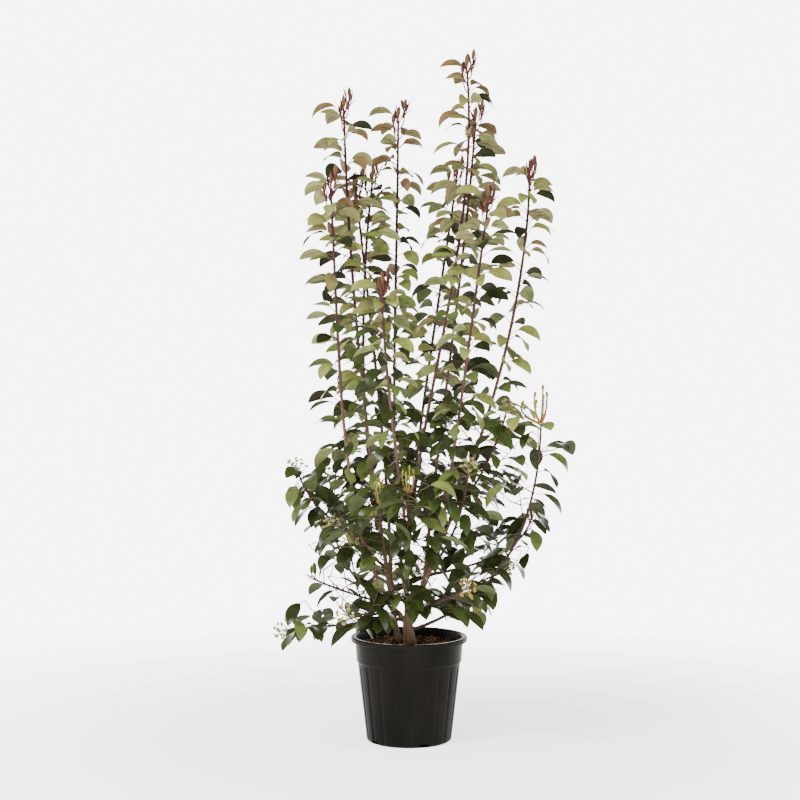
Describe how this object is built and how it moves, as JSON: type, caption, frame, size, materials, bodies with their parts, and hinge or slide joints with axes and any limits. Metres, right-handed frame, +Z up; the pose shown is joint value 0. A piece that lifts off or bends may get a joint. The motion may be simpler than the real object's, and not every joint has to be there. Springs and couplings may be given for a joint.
{
  "type": "potted photinia red robin shrub",
  "caption": "Tall evergreen shrub with long leafy canes, copper-red young shoots and pale flower buds, standing in a black fluted round nursery pot full of compost.",
  "frame": {"origin": "centre of the pot's flat underside", "axes": "+Z up along the pot's axis; the pictured side faces -Y, with +X to the right in that view"},
  "size_m": [0.7493, 0.6688, 1.7466],
  "materials": {
    "pot": "satin black moulded plastic",
    "compost": "moist brown compost with bark chips",
    "bark": "rough grey-brown bark, red on young stems",
    "foliage_upper": "glossy olive leaves with a bronze flush",
    "foliage_lower": "glossy dark green leaves"
  },
  "bodies": {
    "root": {"pot": "pot", "compost": "compost", "main_stem": "bark", "second_stem": "bark", "left_cane": "bark", "right_cane": "bark", "back_left_cane": "bark", "mid_left_cane": "bark", "front_cane": "bark", "back_cane": "bark", "right_back_cane": "bark", "far_back_cane": "bark", "right_front_cane": "bark", "low_right_bough": "bark", "left_upper_bough": "bark", "left_front_bough": "bark", "low_left_bough": "bark", "right_side_bough": "bark", "front_left_bough": "bark", "front_bough": "bark", "front_right_bough": "bark", "right_upper_bough": "bark", "low_front_right_bough": "bark", "low_front_left_bough": "bark", "back_left_bough": "bark", "back_middle_bough": "bark", "back_right_bough": "bark", "low_right_back_bough": "bark", "low_back_bough": "bark", "low_left_back_bough": "bark", "main_stem_leaves": "foliage_upper", "second_stem_leaves": "foliage_upper", "left_cane_leaves": "foliage_upper", "right_cane_leaves": "foliage_upper", "back_left_cane_leaves": "foliage_upper", "mid_left_cane_leaves": "foliage_upper", "front_cane_leaves": "foliage_upper", "back_cane_leaves": "foliage_upper", "right_back_cane_leaves": "foliage_upper", "far_back_cane_leaves": "foliage_upper", "right_front_cane_leaves": "foliage_upper", "low_right_bough_leaves": "foliage_lower", "left_upper_bough_leaves": "foliage_lower", "left_front_bough_leaves": "foliage_lower", "low_left_bough_leaves": "foliage_lower", "right_side_bough_leaves": "foliage_lower", "front_left_bough_leaves": "foliage_lower", "front_bough_leaves": "foliage_lower", "front_right_bough_leaves": "foliage_lower", "right_upper_bough_leaves": "foliage_lower", "low_front_right_bough_leaves": "foliage_lower", "low_front_left_bough_leaves": "foliage_lower", "back_left_bough_leaves": "foliage_lower", "back_middle_bough_leaves": "foliage_lower", "back_right_bough_leaves": "foliage_lower", "low_right_back_bough_leaves": "foliage_lower", "low_back_bough_leaves": "foliage_lower", "low_left_back_bough_leaves": "foliage_lower"}
  },
  "joints": []
}
